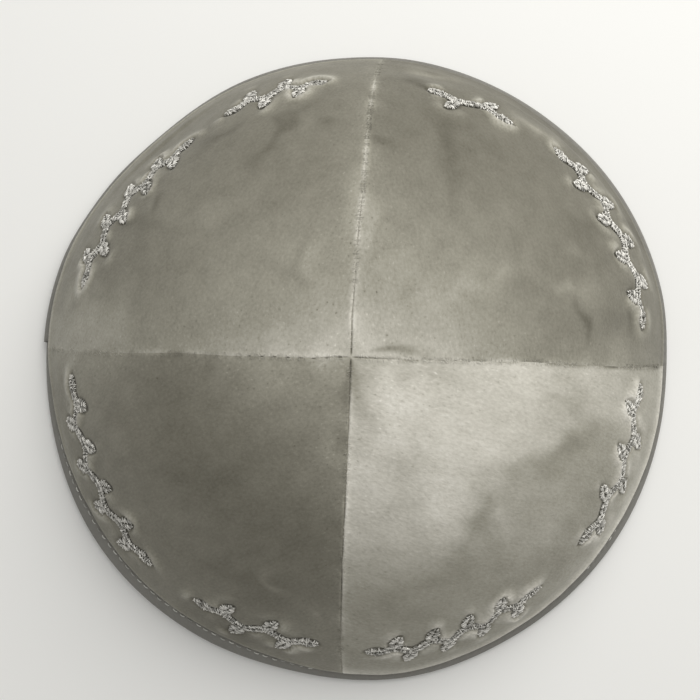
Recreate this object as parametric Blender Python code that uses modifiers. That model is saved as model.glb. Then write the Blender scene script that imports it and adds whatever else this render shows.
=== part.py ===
"""A velvet skullcap of four sewn panels, bound with tape and embroidered round the wall.

Metres, +Z up. The cap rests on its rim on z = 0, with the middle of its box over the origin.
Angles are in degrees, counter-clockwise from +X seen from above, and +Y is called the back.
"""

import math

import bmesh
import bpy
from mathutils import Vector

# Overall form
rim_radius = 0.0905  # middle of the cap to the outside of the tape
crown_height = 0.055  # floor to the highest velvet
wall_turn = 64.0  # degrees that the cloth turns between the crown and the rim
panel_belly = 0.0007  # how far the middle of a panel stands out past its seams
crossing_x = -0.0018  # where the four seams meet, seen from above
crossing_y = -0.0038

# Cloth
velvet_thickness = 0.0018
hem_thickness = 0.0010  # the velvet where the tape crushes it
tape_thickness = 0.0010
clearance = 0.0003  # between pieces that touch
seam_thickness = 0.0010  # the velvet where it is drawn down into a seam
seam_ditch_depth = 0.0007
seam_roll_width = 0.0017  # from a seam to the full height of the pile beside it

# Binding
tape_proud = 0.0003  # the tape's outer face past the pile above it
tape_width_outside = 0.0074  # measured up the wall from the hem
tape_width_inside = 0.0070
tape_swell_length = 0.0022  # the pile swells back to full height over this length above the tape
rest_flat_angle = 22.0  # half the angle of the tape's fold that lies flat on the floor
lap_start = 162.0  # angle of the end of the tape that is hidden
lap_end = 175.0  # angle of the end that shows
lap_ramp = 13.0  # degrees over which the tape climbs on to its own start

# Embroidery
embroidery_height = 0.0130  # of the band, measured up the wall
embroidery_relief = 0.0006
stem_width = 0.0016
leaf_width = 0.0030
leaf_length = 0.0050
leaf_lean = 62.0  # degrees that a leaf stands up from the line of its stem
leaf_fullness = 0.75  # below 1, a leaf is widest nearer its base
wave_length = 0.0118

# Folds
fold_depth = 0.0010  # the depth of a fold whose depth column says 1

# Mesh fineness
panel_columns = 16
panel_rows = 13
tape_steps = 88
leaf_points = 4
stem_points = 6  # to each wave
merge_distance = 1e-6

# Each seam: where it meets the rim, and how far it bows sideways halfway down, in degrees
seam_table = [
    {"end": -0.9, "bow": -1.9},
    {"end": 85.0, "bow": 1.9},
    {"end": 177.5, "bow": 2.3},
    {"end": 267.4, "bow": -0.8},
]

# The rim seen from above: how far it lies past rim_radius, as a share of it
outline_table = [
    {"angle": 0, "past": -0.009},
    {"angle": 12, "past": 0.005},
    {"angle": 32, "past": 0.011},
    {"angle": 52, "past": 0.007},
    {"angle": 80, "past": 0.005},
    {"angle": 92, "past": -0.003},
    {"angle": 112, "past": -0.009},
    {"angle": 131, "past": -0.021},
    {"angle": 145, "past": -0.006},
    {"angle": 158, "past": 0.004},
    {"angle": 174, "past": 0.002},
    {"angle": 190, "past": 0.000},
    {"angle": 216, "past": 0.005},
    {"angle": 240, "past": 0.001},
    {"angle": 257, "past": -0.005},
    {"angle": 278, "past": 0.006},
    {"angle": 298, "past": -0.003},
    {"angle": 325, "past": -0.005},
    {"angle": 350, "past": -0.011},
]

# Folds and dents. Place: angle, and share of the way from crown to rim. Size: length and width as shares
# of rim_radius, depth as a share of fold_depth (minus is a dent). Direction: of the length, up from level.
fold_table = [
    {"angle": 24, "down": 0.38, "length": 0.24, "width": 0.11, "depth": -0.7, "direction": 20},
    {"angle": 5, "down": 0.72, "length": 0.20, "width": 0.09, "depth": -0.7, "direction": 85},
    {"angle": 76, "down": 0.88, "length": 0.24, "width": 0.08, "depth": -0.5, "direction": 0},
    {"angle": 53, "down": 0.84, "length": 0.26, "width": 0.10, "depth": 0.7, "direction": 30},
    {"angle": 70, "down": 0.62, "length": 0.30, "width": 0.10, "depth": -0.6, "direction": 90},
    {"angle": 131, "down": 0.88, "length": 0.46, "width": 0.22, "depth": -0.9, "direction": 0},
    {"angle": 205, "down": 0.60, "length": 0.42, "width": 0.20, "depth": 0.6, "direction": 65},
    {"angle": 265, "down": 0.70, "length": 0.30, "width": 0.11, "depth": -0.6, "direction": 80},
    {"angle": 312, "down": 0.45, "length": 0.50, "width": 0.22, "depth": 0.7, "direction": 30},
    {"angle": 348, "down": 0.80, "length": 0.24, "width": 0.12, "depth": -0.7, "direction": 70},
]

# Each panel runs from one seam, by its row in seam_table, to the next one round
panel_table = [
    {"name": "back_right", "seam": 0, "colour": (0.25, 0.24, 0.20)},
    {"name": "back_left", "seam": 1, "colour": (0.24, 0.23, 0.19)},
    {"name": "front_left", "seam": 2, "colour": (0.13, 0.12, 0.09)},
    {"name": "front_right", "seam": 3, "colour": (0.50, 0.48, 0.42)},
]

# Each sprig of the embroidery: its two ends, and its height up the wall as a share of rim_radius
sprig_table = [
    {"name": "back_right_1", "start": 5.9, "end": 46.7, "above": 0.21},
    {"name": "back_right_2", "start": 56.4, "end": 75.0, "above": 0.26},
    {"name": "back_left_1", "start": 96.1, "end": 118.4, "above": 0.24},
    {"name": "back_left_2", "start": 126.9, "end": 165.7, "above": 0.25},
    {"name": "front_left_1", "start": 183.6, "end": 225.4, "above": 0.23},
    {"name": "front_left_2", "start": 236.2, "end": 262.3, "above": 0.23},
    {"name": "front_right_1", "start": 271.7, "end": 308.5, "above": 0.21},
    {"name": "front_right_2", "start": 320.0, "end": 354.6, "above": 0.22},
]

tape_colour = (0.17, 0.17, 0.16)
thread_colour = (0.62, 0.62, 0.60)

full_turn = 360
turn = math.radians(wall_turn)


def smooth(share):
    """0 below 0, 1 above 1, and a smooth climb between."""
    share = min(max(share, 0.0), 1.0)
    return share * share * (3 - 2 * share)


def turn_between(angle, other):
    """The signed turn in degrees from other to angle, from -180 to 180."""
    return (angle - other + full_turn / 2) % full_turn - full_turn / 2


def radial(angle):
    a = math.radians(angle)
    return Vector((math.cos(a), math.sin(a), 0))


def outward(angle, down):
    """The direction that faces out of the cloth."""
    across = rim_radius * math.cos(turn * down) / math.sin(turn)
    drop = crown_height * math.sin(turn * down) / (1 - math.cos(turn))
    return (radial(angle) * drop + Vector((0, 0, across))).normalized()


# Worked out from the sizes above
rim_out = outward(0, 1)
rim_lean = math.degrees(math.acos(rim_out.z))  # of the wall's face at the rim, from facing up
hem_depth = tape_thickness + clearance + hem_thickness / 2 - tape_proud  # from the pile to the hem's middle
tape_fold_radius = hem_thickness / 2 + clearance + tape_thickness  # of the fold's outside, under the hem
lap_lift = tape_thickness + clearance
flat_share = math.cos(math.radians(rest_flat_angle))
edge_radius = rim_radius - tape_fold_radius + hem_depth * rim_out.x
edge_height = tape_fold_radius * flat_share + hem_depth * rim_out.z
seam_drop = seam_ditch_depth + (seam_thickness - velvet_thickness) / 2  # of the middle of the cloth
seam_inset = clearance / 2 + seam_thickness / 2 * seam_drop / seam_roll_width


def outline(angle):
    """How far the rim lies past rim_radius at this angle, on a smooth curve through the table's rows."""
    angle %= full_turn
    count = len(outline_table)
    following = sum(row["angle"] <= angle for row in outline_table)
    rows = [outline_table[(following + step) % count] for step in (-2, -1, 0, 1)]
    before, start, end, beyond = (row["past"] for row in rows)
    span = (rows[2]["angle"] - rows[1]["angle"]) % full_turn
    t = ((angle - rows[1]["angle"]) % full_turn) / span
    bend = 2 * before - 5 * start + 4 * end - beyond
    twist = 3 * start - before - 3 * end + beyond
    return rim_radius * (start + (t * (end - before) + t**2 * bend + t**3 * twist) / 2)


def lap_share(angle):
    """1 where two layers of tape lie under the rim, 0 away from them."""
    middle = (lap_start + lap_end) / 2
    half = (lap_end - lap_start) / 2
    return smooth(1 - (abs(turn_between(angle, middle)) - half) / lap_ramp)


def rim_middle():
    """The middle of the rim's box, seen from above."""
    reach = [
        (rim_radius + outline(angle) + lap_lift * lap_share(angle)) * radial(angle)
        for angle in range(full_turn)
    ]
    return Vector([(min(p[k] for p in reach) + max(p[k] for p in reach)) / 2 for k in range(3)])


middle_of_rim = rim_middle()


def meridian(down):
    """Distance from the middle, and share of the height, on the way from crown to rim."""
    around = edge_radius * math.sin(turn * down) / math.sin(turn)
    rise = (math.cos(turn * down) - math.cos(turn)) / (1 - math.cos(turn))
    return around, rise


def meridian_length():
    steps = 64
    height = crown_height - edge_height
    places = [meridian(step / steps) for step in range(steps + 1)]
    points = [Vector((around, height * rise)) for around, rise in places]
    return sum((end - start).length for start, end in zip(points, points[1:]))


wall_length = meridian_length()


def down_at(above_hem):
    """How far down from crown to rim a place lies, from its distance up the wall."""
    return 1 - above_hem / wall_length


def seam_angle(index, down):
    """The angle of a seam this far down, counting on past a full turn after the last one."""
    turns, number = divmod(index, len(seam_table))
    row = seam_table[number]
    return row["end"] + full_turn * turns + row["bow"] * math.sin(math.pi * down)


def belly(angle, down):
    """How far a panel stands out here, between its two seams."""
    for index in range(len(seam_table)):
        start = seam_angle(index, down)
        share = (angle - start) % full_turn / (seam_angle(index + 1, down) - start)
        if share < 1:
            return panel_belly * math.sin(math.pi * share) * math.sin(math.pi * min(down, 1))
    return 0


def folds(angle, down):
    """The height of the folds and dents here."""
    height = 0
    for row in fold_table:
        around = meridian(row["down"])[0]
        level = math.radians(turn_between(angle, row["angle"])) * around
        up = (row["down"] - down) * wall_length
        cos, sin = radial(row["direction"]).xy
        along = (level * cos + up * sin) / (row["length"] * rim_radius / 2)
        aside = (up * cos - level * sin) / (row["width"] * rim_radius / 2)
        height += row["depth"] * fold_depth * math.exp(-(along**2) - aside**2)
    return height


def crush(down):
    """1 where the tape crushes the pile, 0 above it."""
    above_tape = (1 - down) * wall_length - tape_width_outside - clearance
    return smooth(1 - above_tape / tape_swell_length)


def cloth(angle, down, out):
    """A point of the cap, this far out of the tips of the pile. The folds fade out under the tape."""
    around, rise = meridian(down)
    share = around / edge_radius
    edge = edge_height + lap_lift * flat_share * lap_share(angle)
    crossing = Vector((crossing_x, crossing_y, 0)) * (1 - share)
    height = Vector((0, 0, edge + (crown_height - edge) * rise))
    relief = (folds(angle, down) + belly(angle, down)) * (1 - crush(down))
    point = radial(angle) * (around + outline(angle) * share**2) + crossing + height
    return point - middle_of_rim + outward(angle, down) * (out + relief)


def principled(name, colour, roughness, metallic=0):
    material = bpy.data.materials.new(name)
    material.use_nodes = True
    shader = material.node_tree.nodes["Principled BSDF"]
    shader.inputs["Base Color"].default_value = (*colour, 1)
    shader.inputs["Roughness"].default_value = roughness
    shader.inputs["Metallic"].default_value = metallic
    material.diffuse_color = (*colour, 1)
    return material


def add_piece(name, mesh, material, collection):
    mesh.materials.append(material)
    mesh.shade_smooth()
    piece = bpy.data.objects.new(name, mesh)
    collection.objects.link(piece)
    return piece


def placed_grid(name, columns, rows, place):
    """A grid sheet whose vertices lie, with their weights, where place(column, row) says."""
    bm = bmesh.new()
    bmesh.ops.create_grid(bm, x_segments=columns, y_segments=rows, size=0.5)
    weights = bm.verts.layers.deform.verify()
    for vertex in bm.verts:
        column = round((vertex.co.x + 0.5) * columns)
        row = round((vertex.co.y + 0.5) * rows)
        vertex.co, vertex[weights][0] = place(column, row)
    bmesh.ops.remove_doubles(bm, verts=bm.verts, dist=merge_distance)
    mesh = bpy.data.meshes.new(name)
    bm.to_mesh(mesh)
    bm.free()
    return mesh


def thicken(piece, thickness, offset):
    """Makes the open sheet a closed wall, as thick at each vertex as the vertex's weight says."""
    group = piece.vertex_groups.new(name="thickness")
    solidify = piece.modifiers.new("wall", "SOLIDIFY")
    solidify.thickness = thickness
    solidify.offset = offset
    solidify.vertex_group = group.name
    solidify.thickness_vertex_group = 0


def panel_places():
    """How far down each row of a panel lies: even steps, then the swell above the tape, then the hem."""
    crushed = down_at(tape_width_outside + clearance)
    swollen = down_at(tape_width_outside + clearance + tape_swell_length)
    return [swollen * row / panel_rows for row in range(panel_rows + 1)] + [crushed, (1 + crushed) / 2, 1]


def make_panel(row, collection):
    """One velvet panel: a sheet through the middle of the cloth, from seam to seam, thickened both ways."""
    places = panel_places()
    seam_columns = (0, panel_columns)

    def place(column, line):
        down = places[line]
        start = seam_angle(row["seam"], down)
        end = seam_angle(row["seam"] + 1, down)
        middle = (start + end) / 2
        if line == 0:
            apart = seam_inset / math.sin(math.radians(end - middle))
            return cloth(middle, 0, -velvet_thickness / 2) + radial(middle) * apart, 1
        around = meridian(down)[0]
        width = around * math.radians(end - start) - 2 * seam_inset
        roll = min(seam_roll_width, width / panel_columns)
        across = roll + (width - 2 * roll) * (column - 1) / (panel_columns - 2)
        if column in seam_columns:
            across = width * (column > 0)
        angle = start + math.degrees((seam_inset + across) / around)
        crushed = crush(down)
        drawn = roll / seam_roll_width * (1 - crushed) * (column in seam_columns)
        depth = velvet_thickness / 2 + (hem_depth - velvet_thickness / 2) * crushed + seam_drop * drawn
        thickness = velvet_thickness + (hem_thickness - velvet_thickness) * crushed
        thickness += (seam_thickness - velvet_thickness) * drawn
        return cloth(angle, down, -depth), thickness / velvet_thickness

    name = "panel_" + row["name"]
    mesh = placed_grid(name, panel_columns, len(places) - 1, place)
    velvet = principled("velvet_" + row["name"], row["colour"], roughness=0.8)
    panel = add_piece(name, mesh, velvet, collection)
    thicken(panel, velvet_thickness, offset=0)


def make_binding(collection):
    """The tape: one strip folded round the hem, whose shown end lies over its hidden end."""
    strip_turn = full_turn + lap_end - lap_start
    inside_depth = hem_depth + tape_fold_radius
    outer_start = full_turn / 2 - rim_lean
    outer_side = [rest_flat_angle + (outer_start - rest_flat_angle) * step / 3 for step in range(4)]
    fold_angles = [-rim_lean, -rest_flat_angle] + outer_side

    def place(column, row):
        travel = lap_start + strip_turn * column / tape_steps
        angle = travel % full_turn
        lift = lap_lift * smooth(1 + (travel - full_turn - lap_start) / lap_ramp)
        if row == 0:
            return cloth(angle, down_at(tape_width_inside), -inside_depth - lift), 1
        if row == len(fold_angles) + 1:
            return cloth(angle, down_at(tape_width_outside), tape_proud + lift), 1
        from_below = math.radians(fold_angles[row - 1])
        middle = cloth(angle, 1, -hem_depth)
        spoke = radial(angle) * math.sin(from_below) - Vector((0, 0, math.cos(from_below)))
        return middle + spoke * (tape_fold_radius + lift), 1

    mesh = placed_grid("rim_binding", tape_steps, len(fold_angles) + 1, place)
    tape = principled("tape", tape_colour, roughness=0.75)
    binding = add_piece("rim_binding", mesh, tape, collection)
    thicken(binding, tape_thickness, offset=-1)


def leaf(base, lean, length):
    """The outline of a pointed leaf, from one side of its base round the tip to the other."""
    along = radial(lean).xy
    aside = Vector((-along.y, along.x))
    steps = [step / leaf_points for step in range(1, leaf_points)]
    half_widths = [leaf_width / 2 * math.sin(math.pi * step**leaf_fullness) for step in steps]
    left = [base + along * length * step + aside * half for step, half in zip(steps, half_widths)]
    right = [base + along * length * step - aside * half for step, half in zip(steps, half_widths)]
    return left + [base + along * length] + right[::-1]


def sprig_outline(length):
    """A wavy stem with a leaf on each crest and at its end: one edge, then the same turned half round."""
    stem_length = length - 2 * leaf_length
    waves = max(1, round(stem_length / wave_length))
    swing = embroidery_height / 2 - stem_width / 2 - leaf_length * math.sin(math.radians(leaf_lean))
    crest = 0.25 if waves % 2 == 0 else 0.75  # share of each wave, for a stem that is level at its middle
    edge = []
    for step in range(waves * stem_points + 1):
        x = stem_length * (step / stem_points / waves - 0.5)
        height = swing * math.sin(math.tau * x * waves / stem_length) + stem_width / 2
        edge.append(Vector((x, height)))
        if step % stem_points == math.ceil(crest * stem_points):
            edge[-1:] = leaf(edge[-2].lerp(edge[-1], 0.5), leaf_lean, leaf_length) + [edge[-1]]
    edge += leaf(Vector((stem_length / 2, 0)), 0, leaf_length)
    return edge + [-point for point in edge]


def flat_solid(name, points, thickness):
    """A closed flat mesh from a drawn outline: the filled curve's caps are welded to its sides."""
    curve = bpy.data.curves.new(name, "CURVE")
    curve.dimensions = "2D"
    curve.fill_mode = "BOTH"
    curve.extrude = thickness / 2
    spline = curve.splines.new("POLY")
    spline.points.add(len(points) - 1)
    for target, point in zip(spline.points, points):
        target.co = (point.x, point.y, 0, 1)
    spline.use_cyclic_u = True
    drawn = bpy.data.objects.new(name + "_outline", curve)
    bpy.context.scene.collection.objects.link(drawn)
    mesh = bpy.data.meshes.new_from_object(drawn.evaluated_get(bpy.context.evaluated_depsgraph_get()))
    bpy.data.objects.remove(drawn)
    bpy.data.curves.remove(curve)
    bm = bmesh.new()
    bm.from_mesh(mesh)
    bmesh.ops.remove_doubles(bm, verts=bm.verts, dist=merge_distance)
    bmesh.ops.triangulate(bm, faces=bm.faces)
    bmesh.ops.recalc_face_normals(bm, faces=bm.faces)
    bm.to_mesh(mesh)
    bm.free()
    mesh.name = name
    return mesh


def make_sprig(row, thread, collection):
    """One embroidered sprig: drawn flat, then laid on the wall."""
    above = row["above"] * rim_radius
    around = meridian(down_at(above))[0]
    length = around * math.radians(row["end"] - row["start"])
    middle = (row["start"] + row["end"]) / 2
    name = "embroidery_" + row["name"]
    mesh = flat_solid(name, sprig_outline(length), embroidery_relief)
    for vertex in mesh.vertices:
        angle = middle + math.degrees(vertex.co.x / around)
        out = clearance + embroidery_relief / 2 + vertex.co.z
        vertex.co = cloth(angle, down_at(above + vertex.co.y), out)
    add_piece(name, mesh, thread, collection)


def main():
    for existing in list(bpy.data.objects):
        bpy.data.objects.remove(existing)
    collection = bpy.data.collections.new("skullcap")
    bpy.context.scene.collection.children.link(collection)
    for row in panel_table:
        make_panel(row, collection)
    make_binding(collection)
    thread = principled("silver_thread", thread_colour, roughness=0.35, metallic=0.8)
    for row in sprig_table:
        make_sprig(row, thread, collection)


main()
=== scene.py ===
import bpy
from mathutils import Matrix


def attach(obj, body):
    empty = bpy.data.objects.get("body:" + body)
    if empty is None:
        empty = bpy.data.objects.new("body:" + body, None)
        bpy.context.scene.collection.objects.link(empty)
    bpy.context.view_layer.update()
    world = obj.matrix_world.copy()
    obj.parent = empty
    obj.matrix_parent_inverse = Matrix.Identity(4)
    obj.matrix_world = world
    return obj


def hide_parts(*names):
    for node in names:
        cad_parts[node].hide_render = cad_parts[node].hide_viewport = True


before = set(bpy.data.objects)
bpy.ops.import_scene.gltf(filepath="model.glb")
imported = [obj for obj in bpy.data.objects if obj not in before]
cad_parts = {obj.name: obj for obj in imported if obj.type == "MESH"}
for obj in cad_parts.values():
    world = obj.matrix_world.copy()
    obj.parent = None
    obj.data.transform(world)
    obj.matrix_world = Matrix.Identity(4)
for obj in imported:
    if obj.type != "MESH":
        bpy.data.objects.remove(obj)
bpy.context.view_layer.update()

import math

import bmesh
import bpy
import numpy as np
from mathutils import Vector, noise

print("frame loaded:", len(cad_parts), "nodes")


def table(columns, *rows):
    # each row becomes a dictionary with the columns' names as its keys; the last column may be left out
    return [dict(zip(columns.split(), row)) for row in rows]


# A velvet skullcap lying on its rim. Metres; angles in degrees, counter-clockwise from +X seen from above.
# A place on the cloth is an angle and a share of the way down from the crown to the rim.

tiny = 1e-6

# The form of the cap, as the frame has it
cap = {
    "rimRadius": 0.0905,
    "crownHeight": 0.055,
    "wallTurn": 64.0,
    "panelBelly": 0.0007,
    "crossingX": -0.0018,
    "crossingY": -0.0038,
    "velvetThickness": 0.0018,
    "hemThickness": 0.0010,
    "tapeThickness": 0.0010,
    "clearance": 0.0003,
    "tapeProud": 0.0003,
    "tapeWidthOutside": 0.0074,
    "tapeWidthInside": 0.0070,
    "tapeSwellLength": 0.0022,
    "restFlatAngle": 22.0,
    "lapStart": 162.0,
    "lapEnd": 176.5,
    "lapRamp": 13.0,
    "lapProud": 0.00045,  # of the lapping end, pressed down over the start
    "lapSunk": 0.00040,  # of the start under it
    "foldDepth": 0.0010,
    "meridianSteps": 65,
}

# Where each seam meets the rim, how far it bows sideways halfway down, how far aside it lies near the crown (m),
# how far it gapes at the shares in gapePlaces, and down to which share the pile beside it stands light
gapePlaces = (0.0, 0.12, 0.32, 0.50, 0.80)
seams = {
    "asideFrom": 0.10,  # the seams lie aside from here
    "asideUntil": 0.26,  # to here, and are back in line this much further down
    "asideFade": 0.18,
    "gapeStart": 0.012,
    "dull": 0.15,  # the pile's lightness where it doesn't stand light, and over which share it fades to that
    "lightFade": 0.25,
}
seamTable = table(
    "end bow aside gapes light",
    (-0.9, -1.9, -0.00065, (1.3, 0.14, 0.0, 0.0, 0.0), 0.50),
    (85.0, 1.9, 0.00065, (1.6, 0.50, 0.32, 0.0, 0.0), 0.80),
    (177.5, 2.3, 0.00090, (0.9, 0.12, 0.0, 0.0, 0.0), 0.60),
    (267.4, -0.8, 0.00010, (1.5, 0.38, 0.50, 0.68, 0.30), 1.0),
)

# How far the rim lies past the rim radius, as a share of it
outlineTable = table(
    "angle past",
    (0, -0.009),
    (12, 0.005),
    (32, 0.011),
    (52, 0.007),
    (80, 0.005),
    (92, -0.003),
    (112, -0.009),
    (131, -0.024),
    (145, -0.0125),
    (158, -0.001),
    (174, 0.002),
    (190, -0.005),
    (216, 0.005),
    (240, 0.001),
    (257, -0.005),
    (278, 0.006),
    (298, -0.003),
    (325, -0.005),
    (350, -0.011),
)

# The tape is folded a little off its middle: how much of its outside width shows round the rim
tapeTable = table(
    "angle shown",
    (0, 0.38),
    (90, 0.32),
    (150, 0.36),
    (165, 0.50),
    (182, 0.45),
    (198, 0.85),
    (210, 1.20),
    (245, 1.20),
    (262, 0.72),
    (275, 0.46),
    (300, 0.60),
    (325, 0.74),
    (350, 0.45),
)

# Folds and dents: size as shares of the rim radius, depth as a share of foldDepth, direction up from level
foldTable = table(
    "angle down length width depth direction",
    (24, 0.38, 0.24, 0.11, -0.2, 20),
    (5, 0.72, 0.20, 0.09, -0.7, 85),
    (76, 0.88, 0.24, 0.08, -0.5, 0),
    (53, 0.84, 0.26, 0.10, 0.7, 30),
    (70, 0.62, 0.30, 0.10, -0.6, 90),
    (131, 0.88, 0.46, 0.22, -0.9, 0),
    (205, 0.60, 0.42, 0.20, 0.6, 65),
    (265, 0.70, 0.30, 0.11, -0.6, 80),
    (312, 0.45, 0.50, 0.22, 0.7, 30),
    (348, 0.80, 0.24, 0.12, -0.7, 70),
)

turn = math.radians(cap["wallTurn"])


def smooth(share):
    share = np.clip(share, 0, 1)
    return share * share * (3 - 2 * share)


def turnBetween(angle, other):
    return (angle - other + 180) % 360 - 180


def radial(angle):
    a = np.radians(np.asarray(angle, float))
    return np.stack([np.cos(a), np.sin(a), 0 * a], axis=-1)


def upright(height):
    height = np.asarray(height, float)
    return np.stack([0 * height, 0 * height, height], axis=-1)


def outward(angle, down):
    angle, down = np.broadcast_arrays(np.asarray(angle, float), np.asarray(down, float))
    across = cap["rimRadius"] * np.cos(turn * down) / math.sin(turn)
    drop = cap["crownHeight"] * np.sin(turn * down) / (1 - math.cos(turn))
    way = radial(angle) * drop[..., None] + upright(across)
    return way / np.linalg.norm(way, axis=-1, keepdims=True)


rimOut = outward(0, 1)
rimLean = math.degrees(math.acos(rimOut[2]))
hemDepth = cap["tapeThickness"] + cap["clearance"] + cap["hemThickness"] / 2 - cap["tapeProud"]
tapeFoldRadius = cap["hemThickness"] / 2 + cap["clearance"] + cap["tapeThickness"]
flatShare = math.cos(math.radians(cap["restFlatAngle"]))
edgeRadius = cap["rimRadius"] - tapeFoldRadius + hemDepth * rimOut[0]
edgeHeight = tapeFoldRadius * flatShare + hemDepth * rimOut[2]


def outline(angle):
    angle = np.asarray(angle, float) % 360
    angles = np.array([row["angle"] for row in outlineTable], float)
    past = np.array([row["past"] for row in outlineTable])
    count = len(outlineTable)
    following = np.searchsorted(angles, angle, side="right")
    before, start, end, beyond = (past[(following + step) % count] for step in (-2, -1, 0, 1))
    startAngle = angles[(following - 1) % count]
    t = ((angle - startAngle) % 360) / ((angles[following % count] - startAngle) % 360)
    bend = 2 * before - 5 * start + 4 * end - beyond
    twist = 3 * start - before - 3 * end + beyond
    return cap["rimRadius"] * (start + (t * (end - before) + t**2 * bend + t**3 * twist) / 2)


def lapShare(angle):
    middle = (cap["lapStart"] + cap["lapEnd"]) / 2
    half = (cap["lapEnd"] - cap["lapStart"]) / 2
    return smooth(1 - (abs(turnBetween(angle, middle)) - half) / cap["lapRamp"])


def rimMiddle():
    angle = np.arange(360.0)
    lift = (cap["tapeThickness"] + cap["clearance"]) * lapShare(angle)
    reach = radial(angle) * (cap["rimRadius"] + outline(angle) + lift)[:, None]
    return (reach.min(axis=0) + reach.max(axis=0)) / 2


middleOfRim = rimMiddle()


def meridian(down):
    around = edgeRadius * np.sin(turn * np.asarray(down)) / math.sin(turn)
    rise = (np.cos(turn * np.asarray(down)) - math.cos(turn)) / (1 - math.cos(turn))
    return around, rise


def aroundAt(down):
    return np.maximum(meridian(down)[0], tiny)


def meridianLength():
    around, rise = meridian(np.linspace(0, 1, cap["meridianSteps"]))
    return float(np.hypot(np.diff(around), np.diff((cap["crownHeight"] - edgeHeight) * rise)).sum())


wallLength = meridianLength()


def downAt(aboveHem):
    return 1 - aboveHem / wallLength


def seamAngle(index, down):
    turns, number = divmod(index, len(seamTable))
    row = seamTable[number]
    down = np.asarray(down, float)
    near = smooth(down / seams["asideFrom"]) * smooth(1 - (down - seams["asideUntil"]) / seams["asideFade"])
    aside = np.degrees(row["aside"] * near / aroundAt(down))
    return row["end"] + 360 * turns + row["bow"] * np.sin(math.pi * down) + aside


def seamGape(index, down):
    row = seamTable[index % len(seamTable)]
    return np.interp(down, gapePlaces, row["gapes"]) * smooth(down / seams["gapeStart"])


def seamLight(index, down):
    row = seamTable[index % len(seamTable)]
    return seams["dull"] + (1 - seams["dull"]) * smooth(0.5 + (row["light"] - down) / seams["lightFade"])


def belly(angle, down):
    stands = 0
    for index in range(len(seamTable)):
        start = seamAngle(index, down)
        share = (angle - start) % 360 / (seamAngle(index + 1, down) - start)
        here = cap["panelBelly"] * np.sin(math.pi * share) * np.sin(math.pi * np.minimum(down, 1))
        stands = stands + np.where(share < 1, here, 0)
    return stands


def mound(angle, down, row):
    # 1 in the middle of a fold, dent or mark, falling away along its length and width
    around = meridian(row["down"])[0]
    level = np.radians(turnBetween(angle, row["angle"])) * around
    up = (row["down"] - down) * wallLength
    cos, sin = math.cos(math.radians(row["direction"])), math.sin(math.radians(row["direction"]))
    along = (level * cos + up * sin) / (row["length"] * cap["rimRadius"] / 2)
    aside = (up * cos - level * sin) / (row["width"] * cap["rimRadius"] / 2)
    return np.exp(-(along**2) - aside**2)


def tapeReach(angle):
    angles = [row["angle"] for row in tapeTable]
    return cap["tapeWidthOutside"] * np.interp(angle, angles, [row["shown"] for row in tapeTable], period=360)


def crush(down):
    aboveTape = (1 - np.asarray(down)) * wallLength - cap["tapeWidthOutside"] - cap["clearance"]
    return smooth(1 - aboveTape / cap["tapeSwellLength"])


def cloth(angle, down, out):
    # a point of the cap, this far out of the tips of the pile
    angle, down, out = np.broadcast_arrays(*(np.asarray(x, float) for x in (angle, down, out)))
    around, rise = meridian(down)
    share = around / edgeRadius
    edge = edgeHeight + cap["lapProud"] * flatShare * lapShare(angle)
    crossing = np.array([cap["crossingX"], cap["crossingY"], 0]) * (1 - share)[..., None]
    folds = sum(row["depth"] * cap["foldDepth"] * mound(angle, down, row) for row in foldTable)
    relief = (folds + belly(angle, down)) * (1 - crush(down))
    point = radial(angle) * (around + outline(angle) * share**2)[..., None] + crossing
    point = point + upright(edge + (cap["crownHeight"] - edge) * rise) - middleOfRim
    return point + outward(angle, down) * (out + relief)[..., None]


# Camera: the photograph looks down from almost straight above
camera = {
    "elevation": 85.0,
    "distance": 0.35,
    "lens": 61.77,
    "sensor": 36.0,
    "shiftX": -0.00584,
    "shiftY": 0.01746,
    "nearest": 0.01,
    "farthest": 20,
}


def addObject(name, data):
    thing = bpy.data.objects.new(name, data)
    bpy.context.scene.collection.objects.link(thing)
    return thing


def addCamera():
    data = bpy.data.cameras.new("camera")
    data.lens, data.sensor_width = camera["lens"], camera["sensor"]
    data.shift_x, data.shift_y = camera["shiftX"], camera["shiftY"]
    data.clip_start, data.clip_end = camera["nearest"], camera["farthest"]
    seen = addObject("camera", data)
    up = math.radians(camera["elevation"])
    back = Vector((0, -math.cos(up), math.sin(up)))
    seen.location = back * camera["distance"]
    seen.rotation_euler = (-back).to_track_quat("-Z", "Y").to_euler()
    bpy.context.scene.camera = seen


addCamera()

# Light: a pale room and one large soft lamp up on the right
studio = {
    "roomColour": (1.0, 0.992, 0.965),
    "roomStrength": 0.40,
    "skylightStrength": 0.33,
    "skylightSpread": 75.0,
    "keyPlace": (0.27, 0.46, 0.50),
    "keySize": 0.80,
    "keyPower": 4.75,
    "keyColour": (1.0, 0.990, 0.955),
    "floorColour": (0.86, 0.86, 0.85),
    "floorDarker": 0.985,
    "floorMottle": 9.0,
    "floorRoughness": 0.7,
    "floorShine": 0.2,
    "floorWidth": 6.0,
}


def give(tree, value, socket):
    # a value for a socket, or another node's output to feed it
    if isinstance(value, bpy.types.NodeSocket):
        tree.links.new(value, socket)
    else:
        socket.default_value = value


def pick(tree, kind, values=None, **settings):
    node = tree.nodes.new(kind)
    for key, value in settings.items():
        setattr(node, key, value)
    for label, value in (values or {}).items():
        give(tree, value, node.inputs[label])
    return node


def outcome(tree, kind, values=None, **settings):
    node = pick(tree, kind, values, **settings)
    return next(socket for socket in node.outputs if socket.enabled)


def plus(tree, first, second):
    return outcome(tree, "ShaderNodeMath", {0: first, 1: second}, operation="ADD")


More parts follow.
